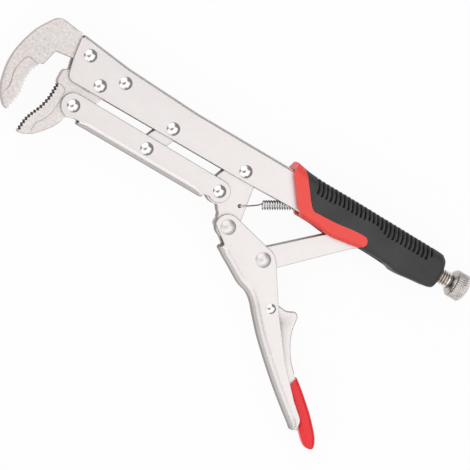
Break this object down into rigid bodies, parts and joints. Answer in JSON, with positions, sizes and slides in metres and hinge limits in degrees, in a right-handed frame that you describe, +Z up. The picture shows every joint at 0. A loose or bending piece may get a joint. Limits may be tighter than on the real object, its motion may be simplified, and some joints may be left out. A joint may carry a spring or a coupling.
{
  "type": "long reach locking pliers",
  "caption": "Long reach locking pliers: curved toothed jaws, parallel link bar, toggle lever with release lever, two-colour grip and a knurled adjusting knob.",
  "frame": {"origin": "centre of the underside of the whole tool's box, as it lies on one side of its grip", "axes": "+X along the frame from the jaws to the adjusting knob, +Y towards the frame's back and away from the operating lever, +Z up, square to the plates"},
  "size_m": [0.3232, 0.1544, 0.025],
  "materials": {
    "plated_sheet": "satin nickel plated pressed sheet, faintly warm, with a fine tumbled texture",
    "jaw_steel": "blasted and plated forging, a little greyer and rougher than the sheet",
    "rivet_steel": "bright plated domed rivet heads",
    "screw_steel": "warm nickel plated, knurled and threaded",
    "spring_steel": "drawn spring wire",
    "red_dip": "glossy dipped vinyl",
    "red_grip": "satin moulded elastomer",
    "black_grip": "matte moulded elastomer with cross grooves"
  },
  "bodies": {
    "frame": {"upper_frame": "plated_sheet", "fixed_jaw": "jaw_steel", "fixed_jaw_front_rivet": "rivet_steel", "fixed_jaw_rear_rivet": "rivet_steel", "jaw_pivot_rivet": "rivet_steel", "mid_link_upper_rivet": "rivet_steel", "crank_pivot_rivet": "rivet_steel", "screw_bush": "screw_steel", "tension_spring": "spring_steel", "handle_grip": "black_grip", "handle_grip_red": "red_grip"},
    "moving_jaw": {"moving_jaw": "jaw_steel"},
    "mid_link": {"mid_link": "plated_sheet"},
    "crank": {"crank": "plated_sheet"},
    "link_bar": {"link_bar": "plated_sheet", "link_bar_front_rivet": "rivet_steel", "link_bar_middle_rivet": "rivet_steel", "link_bar_rear_rivet": "rivet_steel"},
    "lever": {"operating_lever": "plated_sheet", "lever_pivot_rivet": "rivet_steel", "toggle_rivet": "rivet_steel", "release_lever_rivet": "rivet_steel"},
    "toggle": {"toggle_link": "plated_sheet"},
    "release": {"release_lever": "plated_sheet", "release_lever_sleeve": "red_dip"},
    "screw": {"adjusting_screw": "screw_steel"},
    "knob": {"adjusting_knob": "screw_steel"}
  },
  "joints": [
    {"name": "crank_hinge", "type": "hinge", "parent": "frame", "child": "crank", "pos_m": [0.00025, 0.05292, 0.0125], "axis": [0, 0, -1], "range_deg": [0, 15.02], "stiffness_Nm_per_rad": 0.6, "deforming": ["tension_spring"]},
    {"name": "jaw_hinge", "type": "hinge", "parent": "frame", "child": "moving_jaw", "pos_m": [-0.10535, 0.05292, 0.0125], "axis": [0, 0, -1], "range_deg": [0, 15.02]},
    {"name": "mid_link_hinge", "type": "hinge", "parent": "frame", "child": "mid_link", "pos_m": [-0.05255, 0.05292, 0.0125], "axis": [0, 0, -1], "range_deg": [0, 15.02]},
    {"name": "link_bar_hinge", "type": "hinge", "parent": "crank", "child": "link_bar", "pos_m": [-0.00796, 0.03413, 0.0125], "axis": [0, 0, 1], "range_deg": [0, 15.02]},
    {"name": "lever_hinge", "type": "hinge", "parent": "crank", "child": "lever", "pos_m": [0.00805, 0.01772, 0.0125], "axis": [0, 0, 1], "range_deg": [0, 51.34]},
    {"name": "toggle_hinge", "type": "hinge", "parent": "lever", "child": "toggle", "pos_m": [0.03762, 0.01111, 0.0125], "axis": [0, 0, -1], "range_deg": [0, 52.8]},
    {"name": "release_hinge", "type": "hinge", "parent": "lever", "child": "release", "pos_m": [0.0572, -0.01275, 0.0125], "axis": [0, 0, 1], "range_deg": [0, 12]},
    {"name": "screw_slide", "type": "slide", "parent": "frame", "child": "screw", "axis": [1, 0, 0], "range_m": [0, 0.012]},
    {"name": "knob_hinge", "type": "hinge", "parent": "screw", "child": "knob", "pos_m": [0.14845, 0.05892, 0.0125], "axis": [1, 0, 0], "range_deg": [0, 2469]}
  ],
  "couplings": [
    {"joint": "crank_hinge", "follows": "lever_hinge", "ratio": 0.29241},
    {"joint": "jaw_hinge", "follows": "lever_hinge", "ratio": 0.29241},
    {"joint": "mid_link_hinge", "follows": "lever_hinge", "ratio": 0.29241},
    {"joint": "link_bar_hinge", "follows": "lever_hinge", "ratio": 0.29241},
    {"joint": "toggle_hinge", "follows": "lever_hinge", "ratio": 1.0278},
    {"joint": "knob_hinge", "follows": "screw_slide", "rad_per_m": 3590.4}
  ]
}
